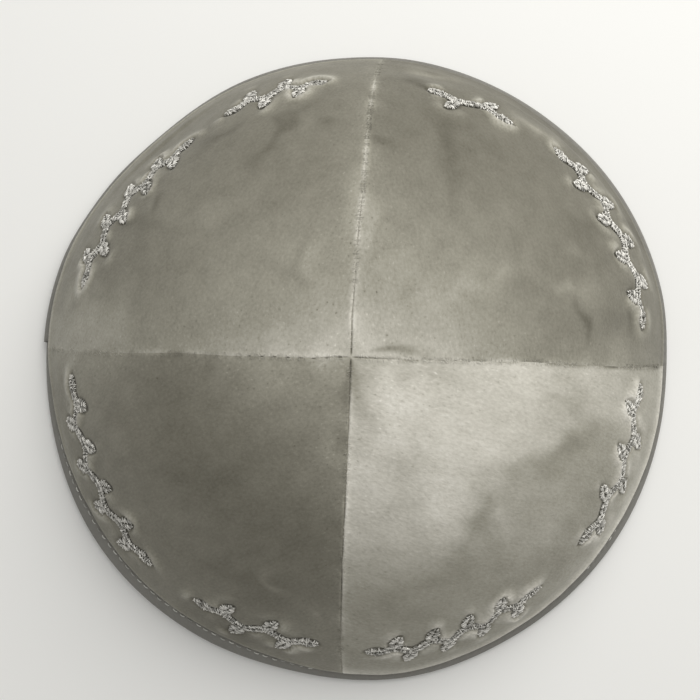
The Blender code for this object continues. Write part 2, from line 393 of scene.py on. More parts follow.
def times(tree, first, second):
    return outcome(tree, "ShaderNodeMath", {0: first, 1: second}, operation="MULTIPLY")


def noiseValue(tree, vector, scale, detail, roughness, seed):
    values = {"Vector": vector, "Scale": scale, "Detail": detail, "Roughness": roughness, "W": seed}
    return pick(tree, "ShaderNodeTexNoise", values, noise_dimensions="4D").outputs["Fac"]


def colourRamp(tree, value, stops):
    ramp = pick(tree, "ShaderNodeValToRGB", {"Fac": value})
    elements = ramp.color_ramp.elements
    while len(elements) < len(stops):
        elements.new(0.5)
    for element, (position, colour) in zip(elements, stops):
        element.position, element.color = position, (*colour, 1)
    return ramp.outputs["Color"]


def addBump(tree, shader, strength, distance, height):
    values = {"Strength": strength, "Distance": distance, "Height": height}
    give(tree, outcome(tree, "ShaderNodeBump", values), shader.inputs["Normal"])


def newMaterial(name, values):
    material = bpy.data.materials.new(name)
    material.use_nodes = True
    shader = material.node_tree.nodes["Principled BSDF"]
    for label, value in values.items():
        shader.inputs[label].default_value = value
    return material, material.node_tree, shader


def addStudio():
    scene = bpy.context.scene
    scene.view_settings.view_transform = "Standard"
    scene.view_settings.look = "None"
    world = bpy.data.worlds.new("paleRoom")
    scene.world = world
    world.use_nodes = True
    background = world.node_tree.nodes["Background"]
    background.inputs["Color"].default_value = (*studio["roomColour"], 1)
    background.inputs["Strength"].default_value = studio["roomStrength"]
    data = bpy.data.lights.new("keyLamp", "AREA")
    data.shape, data.size = "DISK", studio["keySize"]
    data.energy, data.color = studio["keyPower"], studio["keyColour"]
    lamp = addObject("keyLamp", data)
    lamp.location = studio["keyPlace"]
    lamp.rotation_euler = (-Vector(studio["keyPlace"])).to_track_quat("-Z", "Y").to_euler()
    data = bpy.data.lights.new("skylight", "SUN")
    data.energy, data.color = studio["skylightStrength"], studio["roomColour"]
    data.angle = math.radians(studio["skylightSpread"])
    addObject("skylight", data)


def addFloor():
    bm = bmesh.new()
    bmesh.ops.create_grid(bm, x_segments=8, y_segments=8, size=studio["floorWidth"] / 2)
    mesh = bpy.data.meshes.new("floor")
    bm.to_mesh(mesh)
    bm.free()
    floor = addObject("floor", mesh)
    material, tree, shader = newMaterial("paleTable", {
        "Roughness": studio["floorRoughness"], "Specular IOR Level": studio["floorShine"],
    })
    place = pick(tree, "ShaderNodeTexCoord").outputs["Object"]
    values = {"Vector": place, "Scale": studio["floorMottle"], "Detail": 3.0}
    mottle = pick(tree, "ShaderNodeTexNoise", values).outputs["Fac"]
    pale = studio["floorColour"]
    darker = [studio["floorDarker"] * c for c in pale]
    give(tree, colourRamp(tree, mottle, [(0, darker), (1, pale)]), shader.inputs["Base Color"])
    mesh.materials.append(material)


addStudio()
addFloor()
print("camera, light and floor are set")


# Sprigs of the embroidery: their ends, and their height up the wall as a share of the rim radius
sprigTable = table(
    "name panel start end above",
    ("back_right_1", "back_right", 5.9, 46.7, 0.21),
    ("back_right_2", "back_right", 56.4, 75.0, 0.26),
    ("back_left_1", "back_left", 96.1, 118.4, 0.24),
    ("back_left_2", "back_left", 126.9, 165.7, 0.25),
    ("front_left_1", "front_left", 183.6, 225.4, 0.23),
    ("front_left_2", "front_left", 236.2, 262.3, 0.23),
    ("front_right_1", "front_right", 271.7, 308.5, 0.21),
    ("front_right_2", "front_right", 320.0, 354.6, 0.22),
)

# A sprig: a wavy stem with a leaf on each crest and at its ends, worked in rows of silver thread
sprig = {
    "bandHeight": 0.0130,
    "stemWidth": 0.0016,
    "stemSteps": 16,  # to a wave
    "leafSteps": 12,
    "leafTip": 0.00012,
    "rowTip": 0.00008,
    "leafWidth": 0.0030,
    "leafLength": 0.0050,
    "leafLean": 62.0,
    "leafFullness": 0.75,
    "waveLength": 0.0118,
    "spread": 0.00055,  # how far the threads reach past the drawn edge
    "vein": 0.00009,  # half the dark gap between the two rows of a stem or leaf
    "threadRadius": 0.00015,
    "threadPitch": 0.00027,
    "threadBow": 0.00044,
    "slant": 24.0,
    "slantWander": 30.0,
    "threadTilt": 22.0,
    "threadShift": 0.00014,
    "sink": 0.00004,  # how far the thread's ends lie below the tips of the pile
}


def sprigSpace(row):
    above = row["above"] * cap["rimRadius"]
    around = float(meridian(downAt(above))[0])
    length = around * math.radians(row["end"] - row["start"])
    return above, around, length, (row["start"] + row["end"]) / 2


def sprigLines(length):
    # the middle line of the stem and of each leaf, drawn flat, with half the width at each point
    stemLength = length - 2 * sprig["leafLength"]
    waves = max(1, round(stemLength / sprig["waveLength"]))
    lean = math.radians(sprig["leafLean"])
    swing = sprig["bandHeight"] / 2 - sprig["stemWidth"] / 2 - sprig["leafLength"] * math.sin(lean)
    crest = 0.25 if waves % 2 == 0 else 0.75

    def stemPoint(share):
        x = stemLength * (share / waves - 0.5)
        return np.array([x, swing * math.sin(math.tau * x * waves / stemLength)])

    steps = np.linspace(0, waves, waves * sprig["stemSteps"] + 1)
    stem = np.array([stemPoint(step) for step in steps])
    lines = [(stem, np.full(len(stem), sprig["stemWidth"] / 2))]

    def addLeaf(base, lean):
        share = np.linspace(0, 1, sprig["leafSteps"])
        way = np.array([math.cos(lean), math.sin(lean)])
        half = sprig["leafWidth"] / 2 * np.sin(math.pi * share ** sprig["leafFullness"])
        line = base + np.outer(share * sprig["leafLength"], way)
        lines.append((line, np.maximum(half, sprig["leafTip"])))

    for wave in range(waves):
        upper = stemPoint(wave + crest) + [0, sprig["stemWidth"] / 2]
        addLeaf(upper, lean)
        addLeaf(-upper, lean + math.pi)
    addLeaf(stem[-1], 0)
    addLeaf(stem[0], math.pi)
    return lines


def strokeDistance(points, lines):
    # how far each flat point lies outside the nearest stroke; below 0 it is under the thread
    nearest = np.full(len(points), 1.0)
    for line, half in lines:
        for k in range(len(line) - 1):
            start, step = line[k], line[k + 1] - line[k]
            share = np.clip((points - start) @ step / (step @ step), 0, 1)
            away = np.linalg.norm(points - start - share[:, None] * step, axis=1)
            nearest = np.minimum(nearest, away - half[k] - share * (half[k + 1] - half[k]))
    return nearest


# Velvet panels: how fine the mesh is, and the relief of the pile
velvet = {
    "columns": 176,
    "rows": 200,
    "hemRows": 30,  # of the rows, those in the band next to the rim
    "seamColumns": 9,  # of the columns, those in the strip beside each seam
    "seamStrip": 0.0030,
    "stripShare": 0.2,  # of the panel's width at most
    "stripCrowding": 1.5,
    "hemBand": 0.004,  # how far above the tape the finer rows begin
    "seamGap": 0.000004,
    "ditchDepth": 0.00030,
    "ditchWidth": 0.00019,
    "gapeEven": 0.8,  # the gape varies with the lumps of the pile, between a least and a most
    "gapeByLumps": 2.0,
    "gapeLeast": 0.2,
    "gapeMost": 1.6,
    "gapeSteady": 0.25,  # less so from this share down to the crown
    "ridgeHeight": 0.00012,
    "ridgeAt": 0.00055,
    "ridgeWidth": 0.00050,
    "ridgeLeast": 0.15,  # of the ridge, where the seam is closed
    "fuzzReach": 0.0024,  # how far beside a seam the pile's painted highlight reaches, the broad one and the narrow one of the frayed pile
    "frayReach": 0.0007,
    "stitchPitch": 0.0033,
    "puckerHeight": 0.00004,
    "puckerReach": 0.0020,
    "puckerWander": 1.5,
    "swellHeight": 0.00030,  # soft waves of the cloth
    "swellScale": 42.0,
    "lumpHeight": 0.00010,  # small lumps of the pile
    "lumpScale": 190.0,
    "grooveDepth": 0.00034,  # under the embroidery
    "grooveEdge": 0.00055,
    "puffHeight": 0.00062,  # of the pile pushed up beside it
    "puffWidth": 0.00250,
    "puffScale": 150.0,
    "puffEven": 0.15,  # the puffs vary with noise of their own and with the lumps of the pile
    "puffByNoise": 2.8,
    "puffByLumps": 0.6,
    "puffMost": 1.4,
    "puffMargin": 0.005,
    "ruffle": 0.0045,  # how far the edges of the brushed patches wander
    "ruffleScale": 130.0,
    "ruffleNearest": 0.01,  # to the crown, within which they wander by the same angle
    "tapeSwell": 0.0009,  # under the tape's edge, the pile is crushed flat over this length
    "hemRollHeight": 0.00038,  # of the pile above the tape
    "hemRollAt": 0.0008,
    "hemRollWidth": 0.0008,
    "hemRollMean": 0.62,  # it is highest on one side of the rim and across from it, and varies with the swells
    "hemRollVaries": 0.38,
    "hemRollHighest": 330,
    "hemRollBySwells": 0.4,
    "lapReach": 0.006,  # how far above the tape the pile stands out over the lap, and by how much of its height
    "lapShown": 0.6,
    "sharpEdge": 65,
}

# The tone of the pile: painted shade darkening it from the crown to the wall, a painted highlight where it stands up
# frayed, rolled or puffed, and painted shade in the seams' ditches and where it is pressed under the threads
pile = {
    "middleFrom": 0.18,
    "middleFade": 0.30,
    "wallFrom": 0.38,
    "wallFade": 0.30,
    "frayed": 0.34,
    "fuzz": 0.12,
    "highlightEven": 0.9,
    "highlightByLumps": 1.8,
    "hemRoll": 0.45,
    "hemFade": 0.0055,
    "ditchShade": 0.35,
    "ditchUnrubbed": 0.8,
    "puffHighlight": 0.85,
    "grooveShade": 0.22,
    "wornLeast": 0.3,  # how strongly the flecks show: everywhere, near the seams, near the crown and at most
    "wornSeam": 0.8,
    "wornSeamReach": 0.010,
    "wornCrown": 0.9,
    "wornCrownReach": 0.30,
    "wornMost": 1.3,
}

# Each panel: its first seam; its tone from the crown (down to a share) to the wall, and towards its two seams, which
# paints the sheen of its pile and its shade, lit on the crown and shaded down the wall; the painted highlight on the
# frayed pile right beside them, below 0 painted shade; the painted light on the pile next to the tape, below 0 painted
# shade; how strongly the painted highlight shows where the pile is pushed up; the way that its pile is brushed
# (degrees), and how strongly
panelTable = table(
    "name seam crown crownReach upper middle wall towardFirst towardNext frayFirst frayNext hem lift brushed combed",
    ("back_right", 0, 0.455, 0.23, 0.30, 0.195, 0.15, 1.30, 1.10, 1.7, 1.5, -0.035, 0.25, 100.0, 1.3),
    ("back_left", 1, 0.38, 0.23, 0.255, 0.190, 0.168, 1.10, 1.45, 2.0, 1.0, 0.04, 0.25, 60.0, 1.3),
    ("front_left", 2, 0.29, 0.20, 0.215, 0.145, 0.190, 1.20, 1.14, 0.7, 0.7, 0.02, 0.19, 30.0, 1.4),
    ("front_right", 3, 0.41, 0.13, 0.63, 0.56, 0.33, 0.95, 0.96, 1.0, -1.9, 0.17, 0.27, -20.0, 1.8),
)

# Brushed patches, scuffs and creases of the pile, with painted light and shade on its folds and dents: a tone to add,
# with place and size as for the folds. Their edges wander, but for those that are still
markTable = table(
    "angle down length width direction tone edge",
    (65, 0.58, 0.42, 0.07, 115, -0.045),
    (84, 0.54, 0.08, 0.05, 0, -0.05),
    (82, 0.32, 0.28, 0.08, 98, 0.05),
    (75, 0.30, 0.30, 0.04, 105, -0.03),
    (58, 0.06, 0.09, 0.09, 0, 0.05),
    (10, 0.090, 0.11, 0.020, 79, -0.25, "still"),
    (32, 0.29, 0.34, 0.06, 83, 0.06),
    (17, 0.54, 0.12, 0.03, 53, 0.07),
    (8, 0.58, 0.13, 0.03, 7, -0.07),
    (9, 0.78, 0.12, 0.05, 171, -0.06),
    (25, 0.63, 0.15, 0.06, 90, 0.03),
    (29, 0.72, 0.20, 0.08, 90, -0.03),
    (53, 0.84, 0.15, 0.07, 9, 0.12),
    (78, 0.81, 0.14, 0.05, 172, -0.06),
    (76, 0.90, 0.18, 0.06, 2, 0.09),
    (108, 0.63, 0.24, 0.045, 44, -0.06),
    (115, 0.54, 0.13, 0.07, 35, -0.035),
    (122, 0.73, 0.15, 0.05, 3, -0.05),
    (133, 0.50, 0.15, 0.11, 0, 0.035),
    (149, 0.67, 0.17, 0.06, 111, -0.045),
    (143, 0.66, 0.05, 0.03, 0, -0.06),
    (114, 0.22, 0.11, 0.07, 66, 0.04),
    (125, 0.22, 0.15, 0.035, 55, -0.035),
    (113, 0.05, 0.10, 0.10, 0, 0.07),
    (174, 0.78, 0.44, 0.24, 98, 0.13),
    (188, 0.74, 0.34, 0.26, 90, 0.03),
    (245, 0.88, 0.22, 0.20, 0, -0.06),
    (168, 0.77, 0.20, 0.05, 97, -0.035),
    (162, 0.18, 0.15, 0.06, 108, 0.04),
    (96, 0.60, 0.08, 0.05, 0, -0.04),
    (195, 0.19, 0.17, 0.09, 45, 0.04),
    (259, 0.18, 0.26, 0.10, 101, 0.08),
    (3, 0.16, 0.18, 0.06, 86, 0.10, "still"),
    (45, 0.17, 0.10, 0.10, 0, -0.045, "still"),
    (90, 0.11, 0.10, 0.10, 90, -0.05, "still"),
    (175, 0.17, 0.12, 0.06, 90, 0.045, "still"),
    (176, 0.60, 0.20, 0.10, 90, 0.035, "still"),
    (187, 0.245, 0.12, 0.08, 90, -0.025, "still"),
    (212, 0.10, 0.16, 0.06, 0, -0.03, "still"),
    (278, 0.10, 0.10, 0.05, 90, -0.05, "still"),
    (15, 0.61, 0.16, 0.10, 90, 0.06, "still"),
    (25, 0.93, 0.16, 0.08, 0, -0.05),
    (87, 0.68, 0.10, 0.10, 90, 0.05, "still"),
    (328, 0.91, 0.60, 0.12, 0, 0.08),
    (317, 0.49, 0.18, 0.12, 0, -0.07, "still"),
    (317, 0.67, 0.24, 0.12, 0, 0.08, "still"),
    (249, 0.64, 0.26, 0.20, 0, -0.035, "still"),
    (183, 0.04, 0.10, 0.05, 90, 0.08),
    (50, 0.94, 0.24, 0.08, 0, -0.03),
    (198, 0.92, 0.20, 0.07, 0, 0.04),
    (289, 0.19, 0.20, 0.08, 20, 0.06),
    (287, 0.37, 0.18, 0.12, 0, -0.05),
    (229, 0.28, 0.20, 0.10, 21, -0.025),
    (196, 0.63, 0.20, 0.08, 54, -0.02),
    (184, 0.41, 0.15, 0.05, 61, 0.02),
    (184, 0.34, 0.05, 0.04, 0, -0.03),
    (251, 0.61, 0.09, 0.03, 149, 0.06),
    (260, 0.69, 0.06, 0.03, 155, 0.05),
    (239, 0.65, 0.26, 0.07, 21, -0.025),
    (349, 0.59, 0.30, 0.05, 101, -0.10),
    (331, 0.54, 0.36, 0.09, 132, -0.13),
    (309, 0.48, 0.20, 0.07, 51, -0.12),
    (296, 0.28, 0.24, 0.08, 54, -0.06),
    (300, 0.41, 0.20, 0.11, 50, 0.09),
    (276, 0.58, 0.42, 0.20, 174, -0.05),
    (295, 0.58, 0.22, 0.12, 20, -0.05),
    (311, 0.55, 0.13, 0.05, 94, 0.06),
    (343, 0.58, 0.32, 0.06, 132, 0.03),
    (277, 0.09, 0.34, 0.08, 84, -0.16),
    (355, 0.14, 0.11, 0.05, 125, -0.06),
    (355, 0.50, 0.08, 0.05, 60, -0.06),
    (347, 0.18, 0.30, 0.09, 85, -0.12),
    (350, 0.17, 0.28, 0.05, 88, -0.07, "still"),
    (90, 0.36, 0.30, 0.07, 82, 0.06, "still"),
    (351, 0.69, 0.36, 0.22, 85, 0.18),
)


def noiseAt(points, scale, seed):
    shift = Vector((seed, 0, 0))
    return np.array([noise.noise(Vector(point) * scale + shift) for point in points])


def gridFaces(rows, columns):
    # the outer wall from the first vertex on, the inner wall at half its fineness after it, and the walls between
    across, acrossInner = columns + 1, columns // 2 + 1
    first = (rows + 1) * across

    def outer(row, column):
        return row * across + column

    def inner(row, column):
        return first + row // 2 * acrossInner + column // 2

    outerFaces = [
        (outer(r, c), outer(r + 1, c), outer(r + 1, c + 1), outer(r, c + 1))
        for r in range(rows) for c in range(columns)
    ]
    innerFaces = [
        (inner(r, c), inner(r, c + 2), inner(r + 2, c + 2), inner(r + 2, c))
        for r in range(0, rows, 2) for c in range(0, columns, 2)
    ]
    walls = []
    for c in range(0, columns, 2):
        hem = (outer(rows, c + 2), outer(rows, c + 1), outer(rows, c), inner(rows, c), inner(rows, c + 2))
        walls.append(hem)
    for r in range(0, rows, 2):
        for c, order in ((columns, (0, 1, 2)), (0, (2, 1, 0))):
            edge = [outer(r + step, c) for step in order]
            walls.append((*edge, inner(r + order[2], c), inner(r + order[0], c)))
    return outerFaces + walls, innerFaces


def addPiece(name, points, faces, innerFaces, materials):
    mesh = bpy.data.meshes.new(name)
    mesh.from_pydata([tuple(point) for point in points], [], [*faces, *innerFaces])
    for material in materials:
        mesh.materials.append(material)
    for polygon in list(mesh.polygons)[len(faces):]:
        polygon.material_index = 1
    return addObject(name, mesh)


def mergeDoubles(mesh):
    bm = bmesh.new()
    bm.from_mesh(mesh)
    bmesh.ops.remove_doubles(bm, verts=bm.verts, dist=tiny)
    bm.to_mesh(mesh)
    bm.free()


def setAttribute(mesh, name, values):
    attribute = mesh.attributes.new(name, "FLOAT", "POINT")
    attribute.data.foreach_set("value", np.asarray(values, np.float32))


def setPlaces(mesh, name, x, y):
    # flat coordinates of each vertex, for the textures
    corners = np.zeros(len(mesh.loops), np.int32)
    mesh.loops.foreach_get("vertex_index", corners)
    places = mesh.uv_layers.new(name=name)
    places.data.foreach_set("uv", np.stack([x[corners], y[corners]], axis=1).ravel())


def hump(distance, reach):
    return np.exp(-((distance / reach) ** 2))


def panelPlaces(row):
    # the angle and share down of each vertex, with its distance to the nearer seam
    aboveTape = downAt(cap["tapeWidthOutside"] + cap["clearance"] + velvet["hemBand"])
    hemRows = velvet["hemRows"]
    upper = np.linspace(0, aboveTape, velvet["rows"] - hemRows + 1)
    down = np.concatenate([upper, np.linspace(aboveTape, 1, hemRows + 1)[1:]])[:, None]
    start, end = seamAngle(row["seam"], down), seamAngle(row["seam"] + 1, down)
    around = aroundAt(down)
    width = around * np.radians(end - start)
    strip = np.minimum(velvet["seamStrip"], width * velvet["stripShare"])
    fine = velvet["seamColumns"]
    middleColumns = velvet["columns"] - 2 * fine
    share = np.linspace(0, 1, fine + 1)[None, :] ** velvet["stripCrowding"]
    left = strip * share
    middle = strip + (width - 2 * strip) * np.linspace(0, 1, middleColumns + 1)[None, 1:-1]
    right = width - (strip * share)[:, ::-1]
    across = np.concatenate([left, middle, right], axis=1)
    gap = np.minimum(velvet["seamGap"], width / 2)
    across = np.clip(across, gap, width - gap)
    angle = start + np.degrees(across / around)
    angle[0, :] = ((start + end) / 2)[0]
    toSeam = np.minimum(across, width - across)
    firstSeam = across < width / 2
    return angle, np.broadcast_to(down, angle.shape).copy(), toSeam, firstSeam, strip / velvet["seamStrip"]


# the tone of a panel's pile: painted sheen and shade, lit on the crown and shaded down the wall, with its marks
def panelTone(row, angle, down, ruffleAcross, ruffleDown):
    crown, upper, middle, wall = row["crown"], row["upper"], row["middle"], row["wall"]
    tone = crown + (upper - crown) * smooth(down / row["crownReach"])
    tone = tone + (middle - upper) * smooth((down - pile["middleFrom"]) / pile["middleFade"])
    tone = tone + (wall - middle) * smooth((down - pile["wallFrom"]) / pile["wallFade"])
    start, end = seamAngle(row["seam"], down), seamAngle(row["seam"] + 1, down)
    across = np.clip((angle - start) / (end - start), 0, 1)
    tone = tone * (1 + (row["towardFirst"] - 1) * (1 - across) ** 2 + (row["towardNext"] - 1) * across**2)
    shift = velvet["ruffle"] * ruffleAcross / np.maximum(meridian(down)[0], velvet["ruffleNearest"])
    wandered = angle + np.degrees(shift), down + velvet["ruffle"] * ruffleDown / wallLength
    for mark in markTable:
        place = (angle, down) if "edge" in mark else wandered
        tone = tone + mark["tone"] * mound(*place, mark)
    return tone


def besideSprigs(row, angle, upTape, base, lump, relief, rubbed, tone):
    # presses the pile down under the panel's sprigs and puffs it up beside them, with painted shade in the groove under
    # the threads and a painted highlight on the puffs
    for stroke in sprigTable:
        if stroke["panel"] != row["name"]:
            continue
        above, around, length, middle = sprigSpace(stroke)
        x = np.radians(turnBetween(angle, middle)) * around
        y = upTape - above
        margin = velvet["puffMargin"]
        near = (abs(x) < length / 2 + margin) & (abs(y) < sprig["bandHeight"] / 2 + margin)
        away = strokeDistance(np.stack([x[near], y[near]], axis=1), sprigLines(length))
        past = away - sprig["spread"]
        under = smooth(1 - past / velvet["grooveEdge"])
        puff = hump(np.maximum(past, 0), velvet["puffWidth"]) * (1 - under)
        clump = noiseAt(base[near], velvet["puffScale"], seed=17.0)
        uneven = velvet["puffEven"] + velvet["puffByNoise"] * clump + velvet["puffByLumps"] * lump[near]
        uneven = np.clip(uneven, 0, velvet["puffMost"])
        relief[near] += velvet["puffHeight"] * puff * uneven - velvet["grooveDepth"] * under
        rubbed[near] += pile["puffHighlight"] * puff * uneven
        tone[near] *= 1 - pile["grooveShade"] * under


def makePanel(row, materials):
    name = "panel_" + row["name"]
    angle, down, toSeam, firstSeam, narrow = panelPlaces(row)
    base = cloth(angle, down, 0)

    def noiseHere(scale, seed):
        return noiseAt(base.reshape(-1, 3), scale, seed).reshape(angle.shape)

    def ofSeam(work):
        return np.where(firstSeam, work(row["seam"], down), work(row["seam"] + 1, down))

    upTape = (1 - down) * wallLength
    pastTape = upTape - tapeReach(angle)
    crushed = smooth(-pastTape / velvet["tapeSwell"])
    free = 1 - crushed
    lapped = lapShare(angle) * smooth(1 - pastTape / velvet["lapReach"])
    swell = noiseHere(velvet["swellScale"], seed=3.0)
    lump = noiseHere(velvet["lumpScale"], seed=7.0)
    uneven = np.clip(velvet["gapeEven"] + velvet["gapeByLumps"] * lump, velvet["gapeLeast"], velvet["gapeMost"])
    gape = ofSeam(seamGape) * (1 + (uneven - 1) * smooth(down / velvet["gapeSteady"]))
    ditch = hump(toSeam, velvet["ditchWidth"]) * gape
    fuzzHighlight = hump(toSeam, velvet["fuzzReach"]) * narrow
    frayed = hump(toSeam, velvet["frayReach"]) * narrow
    ridge = hump(toSeam - velvet["ridgeAt"], velvet["ridgeWidth"]) * narrow
    ridge = ridge * (velvet["ridgeLeast"] + (1 - velvet["ridgeLeast"]) * smooth(gape))
    phase = math.tau * down * wallLength / velvet["stitchPitch"] + velvet["puckerWander"] * lump
    pucker = np.cos(phase) * hump(toSeam, velvet["puckerReach"]) * narrow
    hemRoll = velvet["hemRollVaries"] * np.cos(np.radians(2 * (angle - velvet["hemRollHighest"])))
    hemRoll = velvet["hemRollMean"] + hemRoll + velvet["hemRollBySwells"] * swell
    hemRoll = hemRoll * hump(pastTape - velvet["hemRollAt"], velvet["hemRollWidth"])
    relief = velvet["swellHeight"] * swell + velvet["lumpHeight"] * lump
    relief += velvet["ridgeHeight"] * ridge + velvet["puckerHeight"] * pucker
    relief += velvet["hemRollHeight"] * hemRoll
    relief -= velvet["ditchDepth"] * ditch

    tone = panelTone(row, angle, down, *(noiseHere(velvet["ruffleScale"], seed) for seed in (23.0, 31.0)))
    # painted light on the pile next to the tape, below 0 painted shade
    tone += row["hem"] * smooth(1 - pastTape / pile["hemFade"])
    # painted shade in the seam's ditch, which also dims the painted highlight there
    tone *= 1 - pile["ditchShade"] * ditch
    fray = np.where(firstSeam, row["frayFirst"], row["frayNext"])
    light = np.where(fray > 0, ofSeam(seamLight), 1)
    # painted highlight where the pile stands up: the frayed pile beside the seams and the hem roll
    rubbed = pile["frayed"] * frayed * fray + pile["fuzz"] * fuzzHighlight
    rubbed = rubbed * (pile["highlightEven"] + pile["highlightByLumps"] * lump) * light + pile["hemRoll"] * hemRoll
    rubbed *= 1 - pile["ditchUnrubbed"] * np.minimum(ditch, 1)
    besideSprigs(row, angle, upTape, base, lump, relief, rubbed, tone)
    worn = pile["wornSeam"] * hump(toSeam, pile["wornSeamReach"])
    worn = pile["wornLeast"] + worn + pile["wornCrown"] * hump(down, pile["wornCrownReach"])

    depth = hemDepth - cap["hemThickness"] / 2
    outer = cloth(angle, down, relief * free - depth * crushed + velvet["lapShown"] * cap["lapProud"] * lapped)
    inward = (cap["velvetThickness"] * free + (hemDepth + cap["hemThickness"] / 2) * crushed)[::2, ::2]
    inner = cloth(angle[::2, ::2], down[::2, ::2], -inward)
    faces, innerFaces = gridFaces(velvet["rows"], velvet["columns"])
    points = np.concatenate([outer.reshape(-1, 3), inner.reshape(-1, 3)])
    piece = addPiece(name + "_velvet", points, faces, innerFaces, materials)
    mesh = piece.data

    def both(values):
        return np.concatenate([values.ravel(), values[::2, ::2].ravel()])

    setAttribute(mesh, "tone", both(tone))
    setAttribute(mesh, "rubbed", both(rubbed * free))
    setAttribute(mesh, "worn", both(np.minimum(worn, pile["wornMost"])))
    flat = radial(angle) * (wallLength * down)[..., None]
    setPlaces(mesh, "pile", both(flat[..., 0]), both(flat[..., 1]))
    mergeDoubles(mesh)
    mesh.shade_smooth()
    mesh.set_sharp_from_angle(angle=math.radians(velvet["sharpEdge"]))
    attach(piece, "root")
    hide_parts(name)
    return piece


# The mottling of the pile: its size in marks to the metre, and how strongly it shows
mottleTable = table(
    "scale detail roughness seed strength",
    (1300.0, 2.0, 0.6, 0, 0.50),
    (210.0, 3.0, 0.6, 5, 0.46),
    (60.0, 3.0, 0.55, 9, 0.46),
)
velvetFinish = {
    "roughness": 0.9,
    "shine": 0.15,
    "sheen": 0.22,
    "sheenRoughness": 0.45,
    "flecks": 0.13,  # sparse light and dark specks, most near the seams and the crown
    "fleckScale": 1350.0,
    "fleckContrast": 5.0,
    "bump": 0.35,
    "bumpDepth": 0.00030,
    "bumpByMedium": 1.5,
    "liftLeast": 0.3,  # painted highlight where the pile stands up, strongest on the fine marks
    "liftByFine": 1.4,
}

toneStops = [
    (0.0, (0.0, 0.0, 0.0)),
    (0.10, (0.100, 0.093, 0.071)),
    (0.30, (0.300, 0.288, 0.240)),
    (0.60, (0.600, 0.580, 0.520)),
    (1.0, (1.0, 0.98, 0.92)),
]


def measure(tree, name):
    return pick(tree, "ShaderNodeAttribute", attribute_name=name).outputs["Fac"]


def velvetMaterial(row):
    material, tree, shader = newMaterial("velvet_" + row["name"], {
        "Roughness": velvetFinish["roughness"], "Specular IOR Level": velvetFinish["shine"],
        "Sheen Weight": velvetFinish["sheen"], "Sheen Roughness": velvetFinish["sheenRoughness"],
    })
    place = pick(tree, "ShaderNodeUVMap", uv_map="pile").outputs["UV"]
    brushed = outcome(tree, "ShaderNodeMapping", {
        "Vector": place, "Rotation": (0, 0, math.radians(row["brushed"])), "Scale": (row["combed"], 1, 1),
    }, vector_type="TEXTURE")
    seed = 1.7 * row["seam"]
    mottles, total = [], None
    for mottle in mottleTable:
        grain = noiseValue(tree, brushed, mottle["scale"], mottle["detail"], mottle["roughness"], seed + mottle["seed"])
        mottles.append(grain)
        centred = times(tree, plus(tree, grain, -0.5), mottle["strength"])
        total = centred if total is None else plus(tree, total, centred)
    fine, medium, broad = mottles
    speck = noiseValue(tree, brushed, velvetFinish["fleckScale"], detail=1.0, roughness=0.5, seed=seed + 13)
    speck = times(tree, plus(tree, speck, -0.5), velvetFinish["fleckContrast"])
    speck = times(tree, times(tree, speck, speck), speck)
    speck = times(tree, times(tree, speck, measure(tree, "worn")), velvetFinish["flecks"])
    factor = plus(tree, plus(tree, total, speck), 1.0)
    # painted highlight where the pile stands up, over the tone with its painted sheen and shade
    speckle = plus(tree, times(tree, fine, velvetFinish["liftByFine"]), velvetFinish["liftLeast"])
    paintedHighlight = times(tree, times(tree, measure(tree, "rubbed"), speckle), row["lift"])
    final = plus(tree, times(tree, measure(tree, "tone"), factor), paintedHighlight)
    give(tree, colourRamp(tree, final, toneStops), shader.inputs["Base Color"])
    height = plus(tree, fine, times(tree, medium, velvetFinish["bumpByMedium"]))
    addBump(tree, shader, velvetFinish["bump"], velvetFinish["bumpDepth"], height)
    return material


# The plain knitted back of the velvet, inside the cap
backing = {
    "roughness": 0.95,
    "waleScale": 260.0,
    "waleWander": 1.5,
    "dark": (0.30, 0.295, 0.27),
    "light": (0.42, 0.41, 0.38),
    "bumpDepth": 0.0002,
}


def backingMaterial():
    material, tree, shader = newMaterial("velvetBacking", {"Roughness": backing["roughness"]})
    place = pick(tree, "ShaderNodeUVMap", uv_map="pile").outputs["UV"]
    values = {"Vector": place, "Scale": backing["waleScale"], "Distortion": backing["waleWander"]}
    wales = pick(tree, "ShaderNodeTexWave", values, wave_type="BANDS", bands_direction="X").outputs["Fac"]
    colour = colourRamp(tree, wales, [(0, backing["dark"]), (1, backing["light"])])
    give(tree, colour, shader.inputs["Base Color"])
    addBump(tree, shader, 1.0, backing["bumpDepth"], wales)
    return material


# The tape round the rim
tape = {
    "columns": 900,
    "legSteps": 8,
    "foldSteps": 7,
    "edgeSink": 0.00036,  # how far its upper edge dips under the pile, and over which length
    "edgeSlope": 0.0014,
    "edgeRound": 0.14,
    "lapThinner": 0.4,
    "puckerHeight": 0.00010,
    "puckerReach": 0.0011,
    "stitchUp": 0.0010,  # from the tape's upper edge down to its stitches
    "stitchPitch": 0.0027,
    "waver": 0.00015,
    "waverScale": 90.0,
    "roughness": 0.72,
    "shine": 0.3,
    "sheen": 0.15,
    "colour": (0.182, 0.176, 0.156),
    "contrast": 0.20,
    "ribScale": 850.0,
    "ribWander": 0.6,
    "mottleScale": 300.0,
    "broadScale": 40.0,
    "mottle": 0.45,  # how much each of them tells in the colour
    "broad": 0.35,
    "ribs": 0.20,
    "bump": 0.5,
    "bumpDepth": 0.00015,
}


